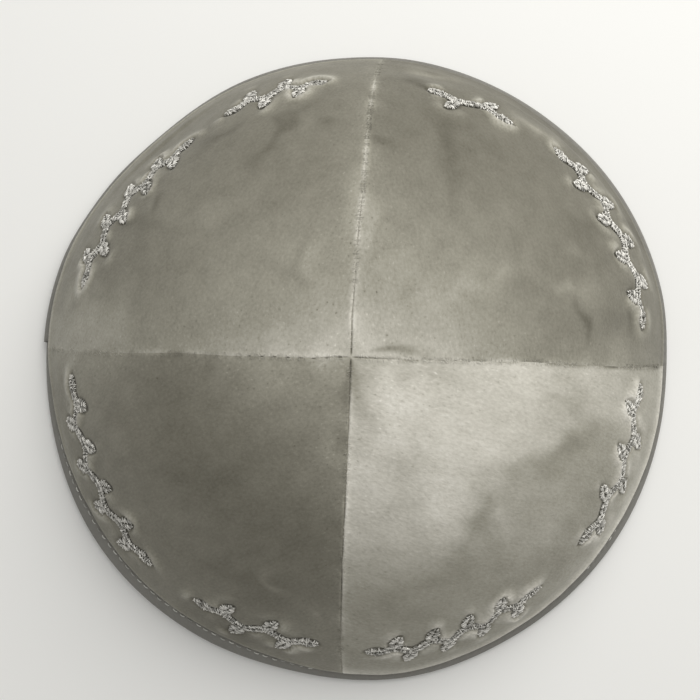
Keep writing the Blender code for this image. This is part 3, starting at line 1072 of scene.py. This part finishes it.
def tapeProfile():
    # one face of the strip's section, from its inner edge round the fold to its outer edge
    fold = np.linspace(-rimLean, 180 - rimLean, tape["foldSteps"] + 1)
    fold = np.sort(np.concatenate([fold, [-cap["restFlatAngle"], cap["restFlatAngle"]]]))
    face = [("in", 1 - k / tape["legSteps"]) for k in range(tape["legSteps"])]
    face += [("fold", angle) for angle in fold]
    face += [("out", (k + 1) / tape["legSteps"]) for k in range(tape["legSteps"])]
    return face


def tapeLap(travel):
    # 1 where the tape's end lies over its start, and 1 where its start lies under its end
    over = smooth(1 + (travel - 360 - cap["lapStart"]) / cap["lapRamp"])
    under = smooth(1 - (travel - cap["lapEnd"]) / cap["lapRamp"])
    return over, under


def tapeLift(travel):
    over, under = tapeLap(travel)
    return cap["lapProud"] * over - cap["lapSunk"] * under


def tapePoint(kind, value, travel, depth, push):
    angle = travel % 360
    lift = tapeLift(travel)
    depth = depth * (1 - tape["lapThinner"] * np.maximum(*tapeLap(travel)))
    if kind == "in":
        inside = cap["tapeWidthInside"] + cap["tapeWidthOutside"] - tapeReach(angle)
        return cloth(angle, downAt(value * inside), -hemDepth - tapeFoldRadius - lift + depth - push)
    if kind == "out":
        return cloth(angle, downAt(value * tapeReach(angle)), cap["tapeProud"] + lift - depth + push)
    fromBelow = math.radians(value)
    spoke = radial(angle) * math.sin(fromBelow) - np.array([0, 0, min(math.cos(fromBelow), flatShare)])
    reach = tapeFoldRadius + lift - depth
    return cloth(angle, 1, -hemDepth) + spoke * np.broadcast_to(reach, angle.shape)[:, None]


def makeTape(material):
    travel = np.linspace(cap["lapStart"], 360 + cap["lapEnd"], tape["columns"] + 1)
    distance = np.radians(travel) * cap["rimRadius"]
    face = tapeProfile()
    thickness = cap["tapeThickness"]
    rings, lengths = [], []
    so, last = 0.0, None
    waver = noiseAt(radial(travel) * cap["rimRadius"], tape["waverScale"], seed=11.0)
    for kind, value in face:
        here = tapePoint(kind, value, travel, 0.0, 0.0)
        if last is not None:
            so += float(np.linalg.norm(here[0] - last[0]))
        last = here
        push = np.zeros(len(travel))
        if kind == "out":
            fromEdge = (1 - value) * tapeReach(travel)
            row = hump(fromEdge - tape["stitchUp"], tape["puckerReach"])
            push = -tape["puckerHeight"] * row * (1 + np.cos(math.tau * distance / tape["stitchPitch"]))
            push = push + tape["waver"] * waver * value
            push = push - tape["edgeSink"] * smooth(1 - fromEdge / tape["edgeSlope"])
        rings.append(tapePoint(kind, value, travel, 0.0, push))
        lengths.append(so)
    faceCount = len(rings)
    for index in range(faceCount - 1, -1, -1):
        kind, value = face[index]
        rings.append(tapePoint(kind, value, travel, thickness, 0.0))
        lengths.append(lengths[index])
    points = np.stack(rings, axis=1)
    # the strip's two long edges are rounded: their middles bulge and their corners draw in
    for first, second in ((0, -1), (faceCount - 1, faceCount)):
        inner = points[:, first].copy(), points[:, second].copy()
        points[:, first] = inner[0] * (1 - tape["edgeRound"]) + inner[1] * tape["edgeRound"]
        points[:, second] = inner[1] * (1 - tape["edgeRound"]) + inner[0] * tape["edgeRound"]
    count = points.shape[1]
    columns = len(travel)
    faces = []
    for c in range(columns - 1):
        for k in range(count):
            after = (k + 1) % count
            faces.append((c * count + k, (c + 1) * count + k, (c + 1) * count + after, c * count + after))
    faces.append(tuple(range(count)))
    faces.append(tuple((columns - 1) * count + k for k in range(count - 1, -1, -1)))
    piece = addPiece("rim_binding_tape", points.reshape(-1, 3), faces, (), [material])
    setPlaces(piece.data, "weave", np.repeat(distance, count), np.tile(np.array(lengths), columns))
    piece.data.shade_smooth()
    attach(piece, "root")
    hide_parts("rim_binding")
    return piece


def tapeMaterial():
    material, tree, shader = newMaterial("wovenTape", {
        "Roughness": tape["roughness"], "Specular IOR Level": tape["shine"], "Sheen Weight": tape["sheen"],
    })
    place = pick(tree, "ShaderNodeUVMap", uv_map="weave").outputs["UV"]
    values = {"Vector": place, "Scale": tape["ribScale"], "Distortion": tape["ribWander"], "Detail": 1.0}
    ribs = pick(tree, "ShaderNodeTexWave", values, wave_type="BANDS", bands_direction="X").outputs["Fac"]
    mottle = noiseValue(tree, place, tape["mottleScale"], detail=3.0, roughness=0.6, seed=2.0)
    broad = noiseValue(tree, place, tape["broadScale"], detail=2.0, roughness=0.5, seed=4.0)
    value = plus(tree, times(tree, mottle, tape["mottle"]), times(tree, broad, tape["broad"]))
    value = plus(tree, value, times(tree, ribs, tape["ribs"]))
    dark, light = ([share * c for c in tape["colour"]] for share in (1 - tape["contrast"], 1 + tape["contrast"]))
    give(tree, colourRamp(tree, value, [(0.25, dark), (0.75, light)]), shader.inputs["Base Color"])
    addBump(tree, shader, tape["bump"], tape["bumpDepth"], plus(tree, ribs, mottle))
    return material


knitted = backingMaterial()
tapePiece = makeTape(tapeMaterial())
print("tape made:", len(tapePiece.data.polygons), "faces")
for row in panelTable:
    made = makePanel(row, [velvetMaterial(row), knitted])
    print(made.name, "made:", len(made.data.polygons), "faces")


# Threads: one tree lays short threads along or across a drawn line
def scatter(tree, kind, low, high, seed):
    # a random value for each thread
    node = pick(tree, "FunctionNodeRandomValue", {"Seed": seed}, data_type=kind)
    wanted = "VECTOR" if kind == "FLOAT_VECTOR" else "VALUE"
    sockets = [socket for socket in node.inputs if socket.type == wanted and socket.enabled]
    give(tree, low, sockets[0])
    give(tree, high, sockets[1])
    return next(socket for socket in node.outputs if socket.enabled)


def threadTree():
    tree = bpy.data.node_groups.new("threadRow", "GeometryNodeTree")
    names = {}
    tree.interface.new_socket("Geometry", in_out="OUTPUT", socket_type="NodeSocketGeometry")
    tree.interface.new_socket("Geometry", in_out="INPUT", socket_type="NodeSocketGeometry")
    for label in ("Pitch", "Radius", "Bow", "Slant", "Wander", "Tilt", "Shift", "Seed", "Thread"):
        kind = {"Seed": "Int", "Thread": "Material"}.get(label, "Float")
        socket = tree.interface.new_socket(label, in_out="INPUT", socket_type="NodeSocket" + kind)
        names[label] = socket.identifier
    given = pick(tree, "NodeGroupInput").outputs

    # one thread, bowed up in the middle
    bow = outcome(tree, "ShaderNodeCombineXYZ", {"Z": given["Bow"]})
    values = {"Resolution": 5, "Start": (0, -1, 0), "Middle": bow, "End": (0, 1, 0)}
    arc = outcome(tree, "GeometryNodeCurveQuadraticBezier", values)
    ring = outcome(tree, "GeometryNodeCurvePrimitiveCircle", {"Resolution": 4, "Radius": given["Radius"]})
    tube = outcome(tree, "GeometryNodeCurveToMesh", {"Curve": arc, "Profile Curve": ring, "Fill Caps": True})
    thread = outcome(tree, "GeometryNodeSetShadeSmooth", {"Geometry": tube})

    # its turn and tilt against the drawn line, and its length
    tangent = outcome(tree, "GeometryNodeInputTangent")
    facing = outcome(tree, "FunctionNodeAlignEulerToVector", {"Vector": tangent}, axis="X", pivot_axis="Z")
    lower = times(tree, given["Wander"], -1.0)
    turned = plus(tree, scatter(tree, "FLOAT", lower, given["Wander"], given["Seed"]), given["Slant"])
    tilted = times(tree, scatter(tree, "FLOAT", -1, 1, plus(tree, given["Seed"], 101)), given["Tilt"])
    spin = outcome(tree, "ShaderNodeCombineXYZ", {"X": tilted, "Z": turned})
    rotated = outcome(tree, "FunctionNodeRotateEuler", {"Rotation": facing, "Rotate By": spin}, space="LOCAL")
    half = outcome(tree, "GeometryNodeInputNamedAttribute", {"Name": "half"}, data_type="FLOAT")
    size = outcome(tree, "ShaderNodeCombineXYZ", {"X": 1, "Y": half, "Z": 1})

    # the threads laid at an even pitch, each a little out of place, less so up and down
    curve = outcome(tree, "GeometryNodeMeshToCurve", {"Mesh": given["Geometry"]})
    values = {"Curve": curve, "Length": given["Pitch"]}
    even = outcome(tree, "GeometryNodeResampleCurve", values, mode="LENGTH")
    jitter = scatter(tree, "FLOAT_VECTOR", (-1, -1, -0.6), (1, 1, 0.6), plus(tree, given["Seed"], 303))
    moved = outcome(tree, "ShaderNodeVectorMath", {0: jitter, "Scale": given["Shift"]}, operation="SCALE")
    shifted = outcome(tree, "GeometryNodeSetPosition", {"Geometry": even, "Offset": moved})
    values = {"Points": shifted, "Instance": thread, "Rotation": rotated, "Scale": size}
    laid = outcome(tree, "GeometryNodeInstanceOnPoints", values)
    glint = scatter(tree, "FLOAT", 0, 1, plus(tree, given["Seed"], 202))
    values = {"Geometry": laid, "Name": "glint", "Value": glint}
    named = outcome(tree, "GeometryNodeStoreNamedAttribute", values, data_type="FLOAT", domain="INSTANCE")
    real = outcome(tree, "GeometryNodeRealizeInstances", {"Geometry": named})
    coloured = outcome(tree, "GeometryNodeSetMaterial", {"Geometry": real, "Material": given["Thread"]})
    pick(tree, "NodeGroupOutput", {"Geometry": coloured})
    return tree, names


threads, threadSockets = threadTree()


def lineMesh(name, lines):
    # drawn lines as edges, with half the length of the thread that lies at each point
    points, edges, halves = [], [], []
    for line, half in lines:
        first = len(points)
        points += [(x, y, 0.0) for x, y in line]
        edges += [(first + k, first + k + 1) for k in range(len(line) - 1)]
        halves += list(half)
    mesh = bpy.data.meshes.new(name)
    mesh.from_pydata(points, edges, [])
    setAttribute(mesh, "half", halves)
    return mesh


def layThreads(name, lines, material, **sizes):
    # runs the tree on the drawn lines and hands back its plain mesh, still flat
    drawn = addObject(name + "_drawn", lineMesh(name + "_drawn", lines))
    modifier = drawn.modifiers.new("threads", "NODES")
    modifier.node_group = threads
    for label, value in {**sizes, "Thread": material}.items():
        modifier[threadSockets[label]] = value
    bpy.context.view_layer.update()
    evaluated = drawn.evaluated_get(bpy.context.evaluated_depsgraph_get())
    mesh = bpy.data.meshes.new_from_object(evaluated)
    mesh.name = name
    bpy.data.objects.remove(drawn)
    return mesh


def pointsOf(mesh):
    points = np.zeros(len(mesh.vertices) * 3)
    mesh.vertices.foreach_get("co", points)
    return points.reshape(-1, 3).T


def wrap(mesh, place):
    mesh.vertices.foreach_set("co", place(*pointsOf(mesh)).ravel())
    mesh.update()


def finishThreads(mesh, node=None):
    piece = addObject(mesh.name, mesh)
    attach(piece, "root")
    if node:
        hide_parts(node)
    return piece


# The shade of a thread: partly its own, partly from the twist along it; and how its roughness varies
threadFinish = {
    "twistScale": 2600.0,
    "byThread": 0.7,
    "stops": (0.18, 0.42, 0.68),
    "roughnessVaries": 0.15,
    "roughnessMore": 0.08,
}


def threadMaterial(name, dark, middle, light, metallic, roughness):
    material, tree, shader = newMaterial(name, {"Metallic": metallic})
    place = pick(tree, "ShaderNodeTexCoord").outputs["Object"]
    glint = measure(tree, "glint")
    twist = noiseValue(tree, place, threadFinish["twistScale"], detail=1.0, roughness=0.5, seed=1.0)
    value = times(tree, glint, threadFinish["byThread"])
    value = plus(tree, value, times(tree, twist, 1 - threadFinish["byThread"]))
    colour = colourRamp(tree, value, list(zip(threadFinish["stops"], (dark, middle, light))))
    give(tree, colour, shader.inputs["Base Color"])
    varies = threadFinish["roughnessVaries"]
    rough = plus(tree, times(tree, glint, -varies), roughness + threadFinish["roughnessMore"])
    give(tree, rough, shader.inputs["Roughness"])
    return material


# The threads' colours, dark to light, with how metallic and how rough they are; for the silver, the light threads are
# painted glints
silver = threadMaterial("silverThread", (0.23, 0.225, 0.205), (0.50, 0.49, 0.455), (0.90, 0.885, 0.84), 0.22, 0.32)


def besides(line, half, side):
    # one of the two rows of threads in a stem or leaf: its middle line, and half its width
    way = np.gradient(line, axis=0)
    way /= np.linalg.norm(way, axis=1, keepdims=True)
    aside = np.stack([-way[:, 1], way[:, 0]], axis=1)
    rowHalf = np.maximum((half + sprig["spread"] - sprig["vein"]) / 2, sprig["rowTip"])
    return line + aside * (side * (sprig["vein"] + rowHalf))[:, None], rowHalf


def makeSprig(number, row):
    above, around, length, middle = sprigSpace(row)
    rows = []
    for line, half in sprigLines(length):
        rows += [besides(line, half, side) for side in (-1, 1)]
    mesh = layThreads(
        "embroidery_" + row["name"] + "_thread", rows, silver,
        Pitch=sprig["threadPitch"], Radius=sprig["threadRadius"], Bow=sprig["threadBow"],
        Slant=math.radians(sprig["slant"]), Wander=math.radians(sprig["slantWander"]),
        Tilt=math.radians(sprig["threadTilt"]), Shift=sprig["threadShift"], Seed=number,
    )
    wrap(mesh, lambda x, y, z: cloth(middle + np.degrees(x / around), downAt(above + y), z - sprig["sink"]))
    return finishThreads(mesh, "embroidery_" + row["name"])


for number, row in enumerate(sprigTable):
    made = makeSprig(number, row)
    print(made.name, "made:", len(made.data.polygons), "faces")

# Stitches of the seams and of the tape: half their length, and how far they stray, turn (radians) and lie below
stitches = {
    "seamHalf": 0.00055,
    "seamRadius": 0.00010,
    "seamBow": 0.0004,
    "seamWander": 0.05,
    "seamShift": 0.00006,
    "seamStart": 0.0025,
    "seamStep": 0.0011,
    "seamDepth": 0.00036,
    "seamDepthLeft": 0.00010,  # the left seam's stitches lie nearer the surface close to the crown
    "leftUntil": 0.22,
    "leftFade": 0.10,
    "tapeHalf": 0.00075,
    "tapeRadius": 0.00017,
    "tapeBow": 0.0003,
    "tapeWander": 0.22,
    "tapeShift": 0.00022,
    "tapeSteps": 1200,
    "tapeAfterStart": 14,  # degrees
    "tapeBeforeEnd": 1,
    "tapeSink": 0.00180,  # deeper where less of the tape shows
}
leftSeam = 2

seamThread = threadMaterial("seamThread", (0.09, 0.085, 0.07), (0.13, 0.125, 0.10), (0.19, 0.18, 0.15), 0.0, 0.7)
tapeThread = threadMaterial("tapeThread", (0.30, 0.30, 0.28), (0.45, 0.45, 0.42), (0.62, 0.62, 0.58), 0.0, 0.6)


def makeSeamStitches(index):
    xs = np.arange(stitches["seamStart"], wallLength * downAt(cap["tapeWidthOutside"]), stitches["seamStep"])
    lines = [(np.stack([xs, 0 * xs], axis=1), np.full(len(xs), stitches["seamHalf"]))]
    mesh = layThreads(
        "seam_stitches_" + str(index + 1), lines, seamThread,
        Pitch=velvet["stitchPitch"], Radius=stitches["seamRadius"], Bow=stitches["seamBow"],
        Slant=math.pi / 2, Wander=stitches["seamWander"], Shift=stitches["seamShift"], Seed=40 + index,
    )

    def place(x, y, z):
        down = x / wallLength
        depth = stitches["seamDepth"]
        if index == leftSeam:
            below = smooth((down - stitches["leftUntil"]) / stitches["leftFade"])
            depth = stitches["seamDepthLeft"] + (depth - stitches["seamDepthLeft"]) * below
        return cloth(seamAngle(index, down) + np.degrees(y / aroundAt(down)), down, z - depth)

    wrap(mesh, place)
    return finishThreads(mesh)


def makeTapeStitches():
    start, end = cap["lapStart"] + stitches["tapeAfterStart"], 360 + cap["lapEnd"] - stitches["tapeBeforeEnd"]
    xs = np.radians(np.linspace(start, end, stitches["tapeSteps"])) * cap["rimRadius"]
    ys = tapeReach(np.degrees(xs / cap["rimRadius"])) - tape["stitchUp"]
    lines = [(np.stack([xs, ys], axis=1), np.full(len(xs), stitches["tapeHalf"]))]
    mesh = layThreads(
        "tape_stitches", lines, tapeThread,
        Pitch=tape["stitchPitch"], Radius=stitches["tapeRadius"], Bow=stitches["tapeBow"],
        Slant=math.pi / 2, Wander=stitches["tapeWander"], Shift=stitches["tapeShift"], Seed=60,
    )

    def place(x, y, z):
        travel = np.degrees(x / cap["rimRadius"])
        sunk = stitches["tapeSink"] * np.maximum(1 - tapeReach(travel) / cap["tapeWidthOutside"], 0)
        return cloth(travel % 360, downAt(y), cap["tapeProud"] + tapeLift(travel) + z - sunk)

    wrap(mesh, place)
    return finishThreads(mesh)


for index in range(len(seamTable)):
    makeSeamStitches(index)
makeTapeStitches()
print("stitches made")

# Pile that hangs over the seams: short fibres rooted on each side
fuzz = {
    "start": 0.0020,
    "step": 0.0006,
    "rootAside": 0.00042,
    "lengthScale": 700.0,
    "halfShort": 0.00022,
    "halfLong": 0.00055,
    "radius": 0.00005,
    "pitch": 0.00040,
    "slant": 20.0,
    "wander": 50.0,
    "tilt": 16.0,
    "shift": 0.00025,
    "bow": 0.00015,
    "lighter": 1.20,
    "toneLeast": 0.8,  # each hair's own share of its tone, and how much more it may have
    "toneVaries": 0.5,
    "roughness": 0.8,
}


def fuzzMaterial():
    material, tree, shader = newMaterial("seamFuzz", {
        "Roughness": fuzz["roughness"], "Sheen Weight": velvetFinish["sheen"],
    })
    varied = plus(tree, times(tree, measure(tree, "glint"), fuzz["toneVaries"]), fuzz["toneLeast"])
    tone = times(tree, measure(tree, "tone"), varied)
    give(tree, colourRamp(tree, tone, toneStops), shader.inputs["Base Color"])
    return material


def makeSeamFuzz(index, side, material):
    row = panelTable[index if side > 0 else index - 1]
    seam = row["seam"] if side > 0 else row["seam"] + 1
    xs = np.arange(fuzz["start"], wallLength * downAt(cap["tapeWidthOutside"]), fuzz["step"])
    ys = 0 * xs + side * fuzz["rootAside"]
    roots = np.stack([xs, ys, 0 * xs + index], axis=1)
    uneven = smooth(0.5 + noiseAt(roots, fuzz["lengthScale"], seed=5.0))
    halves = fuzz["halfShort"] + (fuzz["halfLong"] - fuzz["halfShort"]) * uneven
    mesh = layThreads(
        "seam_fuzz_" + str(2 * index + (1 if side > 0 else 2)), [(np.stack([xs, ys], axis=1), halves)], material,
        Pitch=fuzz["pitch"], Radius=fuzz["radius"], Bow=fuzz["bow"], Slant=math.radians(fuzz["slant"]),
        Wander=math.radians(fuzz["wander"]), Tilt=math.radians(fuzz["tilt"]), Shift=fuzz["shift"], Seed=80 + index,
    )
    x, y, z = pointsOf(mesh)
    down = x / wallLength
    angle = seamAngle(seam, down) + np.degrees(y / aroundAt(down))
    # each fibre takes its panel's tone, painted sheen and shade included, made lighter still as a painted highlight
    setAttribute(mesh, "tone", fuzz["lighter"] * panelTone(row, angle, down, 0, 0))
    wrap(mesh, lambda x, y, z: cloth(angle, down, z))
    return finishThreads(mesh)


hairs = fuzzMaterial()
for index in range(len(seamTable)):
    for side in (1, -1):
        makeSeamFuzz(index, side, hairs)
print("seam fuzz made")
